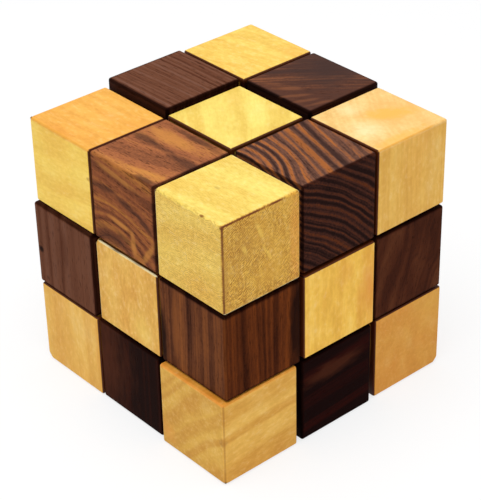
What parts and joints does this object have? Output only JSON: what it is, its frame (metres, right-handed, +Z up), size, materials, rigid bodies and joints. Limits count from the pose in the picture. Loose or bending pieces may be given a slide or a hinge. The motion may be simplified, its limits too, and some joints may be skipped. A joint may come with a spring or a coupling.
{
  "type": "snake cube puzzle",
  "caption": "Wooden snake puzzle of light and dark cubes on an elastic cord, folded into a solid block; it unfolds into a snake and its layers twist.",
  "frame": {"origin": "middle of the block's base, where it stands on the table", "axes": "+Z up; the bottom and top layers' runs of cubes lie along X and the middle layer's along Y; the picture looks at the -Y and +X sides"},
  "size_m": [0.0606, 0.0624, 0.061],
  "materials": {
    "light_wood": "satin lacquered pale yellow hardwood",
    "dark_wood": "satin lacquered striped dark rosewood",
    "elastic_cord": "braided black sleeve over a rubber core",
    "plug_wood": "bare end grain dowel, glued in"
  },
  "bodies": {
    "run_1": {"light_end_cube_01": "light_wood", "light_corner_cube_03": "light_wood", "cord_run_1": "elastic_cord", "cord_knot_start": "elastic_cord", "plug_start": "plug_wood"},
    "middle_cube_1": {"dark_straight_cube_02": "dark_wood"},
    "run_2": {"dark_corner_cube_04": "dark_wood", "dark_corner_cube_06": "dark_wood", "cord_run_2": "elastic_cord"},
    "middle_cube_2": {"light_straight_cube_05": "light_wood"},
    "run_3": {"light_corner_cube_07": "light_wood", "light_corner_cube_09": "light_wood", "cord_run_3": "elastic_cord"},
    "middle_cube_3": {"dark_straight_cube_08": "dark_wood"},
    "run_4": {"dark_corner_cube_10": "dark_wood", "dark_corner_cube_12": "dark_wood", "cord_run_4": "elastic_cord"},
    "middle_cube_4": {"light_straight_cube_11": "light_wood"},
    "run_5": {"light_corner_cube_13": "light_wood", "light_corner_cube_15": "light_wood", "cord_run_5": "elastic_cord"},
    "middle_cube_5": {"dark_straight_cube_14": "dark_wood"},
    "run_6": {"dark_corner_cube_16": "dark_wood", "dark_corner_cube_18": "dark_wood", "cord_run_6": "elastic_cord"},
    "middle_cube_6": {"light_straight_cube_17": "light_wood"},
    "run_7": {"light_corner_cube_19": "light_wood", "light_corner_cube_21": "light_wood", "cord_run_7": "elastic_cord"},
    "middle_cube_7": {"dark_straight_cube_20": "dark_wood"},
    "run_8": {"dark_corner_cube_22": "dark_wood", "dark_corner_cube_24": "dark_wood", "cord_run_8": "elastic_cord"},
    "middle_cube_8": {"light_straight_cube_23": "light_wood"},
    "run_9": {"light_corner_cube_25": "light_wood", "light_end_cube_27": "light_wood", "cord_run_9": "elastic_cord", "cord_knot_tail": "elastic_cord", "plug_tail": "plug_wood"},
    "middle_cube_9": {"dark_straight_cube_26": "dark_wood"},
    "turn_cord_1": {"cord_turn_1": "elastic_cord"},
    "turn_cord_2": {"cord_turn_2": "elastic_cord"},
    "turn_cord_3": {"cord_turn_3": "elastic_cord"},
    "turn_cord_4": {"cord_turn_4": "elastic_cord"},
    "turn_cord_5": {"cord_turn_5": "elastic_cord"},
    "turn_cord_6": {"cord_turn_6": "elastic_cord"},
    "turn_cord_7": {"cord_turn_7": "elastic_cord"},
    "turn_cord_8": {"cord_turn_8": "elastic_cord"}
  },
  "joints": [
    {"name": "unfold", "type": "slide", "parent": "run_1", "child": "turn_cord_1", "axis": [0, 1, 0], "range_m": [0, 0.01257], "deforming": ["cord_turn_1"]},
    {"name": "swing_run_2", "type": "hinge", "parent": "turn_cord_1", "child": "run_2", "pos_m": [0.02, 0, 0.0098], "axis": [0, 1, 0], "range_deg": [0, 180]},
    {"name": "stretch_turn_2", "type": "slide", "parent": "run_2", "child": "turn_cord_2", "axis": [0, 1, 0], "range_m": [0, 0.01257], "deforming": ["cord_turn_2"]},
    {"name": "level_run_3", "type": "hinge", "parent": "turn_cord_2", "child": "run_3", "pos_m": [-0.02, 0.02, 0.0098], "axis": [0, 1, 0], "range_deg": [-180, 0]},
    {"name": "stretch_turn_3", "type": "slide", "parent": "run_3", "child": "turn_cord_3", "axis": [0, 0, 1], "range_m": [0, 0.01257], "deforming": ["cord_turn_3"]},
    {"name": "twist_middle_layer", "type": "hinge", "parent": "turn_cord_3", "child": "run_4", "pos_m": [0.02, 0.02, 0.0298], "axis": [0, 0, 1], "continuous": true},
    {"name": "stretch_turn_4", "type": "slide", "parent": "run_4", "child": "turn_cord_4", "axis": [-1, 0, 0], "range_m": [0, 0.01257], "deforming": ["cord_turn_4"]},
    {"name": "swing_run_5", "type": "hinge", "parent": "turn_cord_4", "child": "run_5", "pos_m": [0, -0.02, 0.0298], "axis": [1, 0, 0], "range_deg": [0, 180]},
    {"name": "stretch_turn_5", "type": "slide", "parent": "run_5", "child": "turn_cord_5", "axis": [-1, 0, 0], "range_m": [0, 0.01257], "deforming": ["cord_turn_5"]},
    {"name": "level_run_6", "type": "hinge", "parent": "turn_cord_5", "child": "run_6", "pos_m": [-0.02, 0.02, 0.0298], "axis": [1, 0, 0], "range_deg": [-180, 0]},
    {"name": "stretch_turn_6", "type": "slide", "parent": "run_6", "child": "turn_cord_6", "axis": [0, 0, 1], "range_m": [0, 0.01257], "deforming": ["cord_turn_6"]},
    {"name": "twist_top_layer", "type": "hinge", "parent": "turn_cord_6", "child": "run_7", "pos_m": [-0.02, -0.02, 0.0498], "axis": [0, 0, 1], "continuous": true},
    {"name": "stretch_turn_7", "type": "slide", "parent": "run_7", "child": "turn_cord_7", "axis": [0, 1, 0], "range_m": [0, 0.01257], "deforming": ["cord_turn_7"]},
    {"name": "swing_run_8", "type": "hinge", "parent": "turn_cord_7", "child": "run_8", "pos_m": [0.02, 0, 0.0498], "axis": [0, 1, 0], "range_deg": [0, 180]},
    {"name": "stretch_turn_8", "type": "slide", "parent": "run_8", "child": "turn_cord_8", "axis": [0, 1, 0], "range_m": [0, 0.01257], "deforming": ["cord_turn_8"]},
    {"name": "level_run_9", "type": "hinge", "parent": "turn_cord_8", "child": "run_9", "pos_m": [-0.02, 0.02, 0.0498], "axis": [0, 1, 0], "range_deg": [-180, 0]},
    {"name": "spin_cube_02", "type": "hinge", "parent": "run_1", "child": "middle_cube_1", "pos_m": [0, -0.02, 0.0098], "axis": [1, 0, 0], "range_deg": [0, 90]},
    {"name": "spin_cube_05", "type": "hinge", "parent": "run_2", "child": "middle_cube_2", "pos_m": [0, 0, 0.0098], "axis": [1, 0, 0], "range_deg": [0, 90]},
    {"name": "spin_cube_08", "type": "hinge", "parent": "run_3", "child": "middle_cube_3", "pos_m": [0, 0.02, 0.0098], "axis": [1, 0, 0], "range_deg": [0, 90]},
    {"name": "spin_cube_11", "type": "hinge", "parent": "run_4", "child": "middle_cube_4", "pos_m": [0.02, 0, 0.0298], "axis": [0, 1, 0], "range_deg": [0, 90]},
    {"name": "spin_cube_14", "type": "hinge", "parent": "run_5", "child": "middle_cube_5", "pos_m": [0, 0, 0.0298], "axis": [0, 1, 0], "range_deg": [0, 90]},
    {"name": "spin_cube_17", "type": "hinge", "parent": "run_6", "child": "middle_cube_6", "pos_m": [-0.02, 0, 0.0298], "axis": [0, 1, 0], "range_deg": [0, 90]},
    {"name": "spin_cube_20", "type": "hinge", "parent": "run_7", "child": "middle_cube_7", "pos_m": [0, -0.02, 0.0498], "axis": [1, 0, 0], "range_deg": [0, 90]},
    {"name": "spin_cube_23", "type": "hinge", "parent": "run_8", "child": "middle_cube_8", "pos_m": [0, 0, 0.0498], "axis": [1, 0, 0], "range_deg": [0, 90]},
    {"name": "spin_cube_26", "type": "hinge", "parent": "run_9", "child": "middle_cube_9", "pos_m": [0, 0.02, 0.0498], "axis": [1, 0, 0], "range_deg": [0, 90]}
  ],
  "couplings": [
    {"joint": "swing_run_2", "follows": "unfold", "rad_per_m": 250},
    {"joint": "stretch_turn_2", "follows": "unfold", "ratio": 1},
    {"joint": "level_run_3", "follows": "unfold", "rad_per_m": -250},
    {"joint": "stretch_turn_3", "follows": "unfold", "ratio": 1},
    {"joint": "stretch_turn_4", "follows": "unfold", "ratio": 1},
    {"joint": "swing_run_5", "follows": "unfold", "rad_per_m": 250},
    {"joint": "stretch_turn_5", "follows": "unfold", "ratio": 1},
    {"joint": "level_run_6", "follows": "unfold", "rad_per_m": -250},
    {"joint": "stretch_turn_6", "follows": "unfold", "ratio": 1},
    {"joint": "stretch_turn_7", "follows": "unfold", "ratio": 1},
    {"joint": "swing_run_8", "follows": "unfold", "rad_per_m": 250},
    {"joint": "stretch_turn_8", "follows": "unfold", "ratio": 1},
    {"joint": "level_run_9", "follows": "unfold", "rad_per_m": -250},
    {"joint": "spin_cube_02", "follows": "unfold", "rad_per_m": 125},
    {"joint": "spin_cube_05", "follows": "unfold", "rad_per_m": 125},
    {"joint": "spin_cube_08", "follows": "unfold", "rad_per_m": 125},
    {"joint": "spin_cube_11", "follows": "unfold", "rad_per_m": 125},
    {"joint": "spin_cube_14", "follows": "unfold", "rad_per_m": 125},
    {"joint": "spin_cube_17", "follows": "unfold", "rad_per_m": 125},
    {"joint": "spin_cube_20", "follows": "unfold", "rad_per_m": 125},
    {"joint": "spin_cube_23", "follows": "unfold", "rad_per_m": 125},
    {"joint": "spin_cube_26", "follows": "unfold", "rad_per_m": 125}
  ]
}
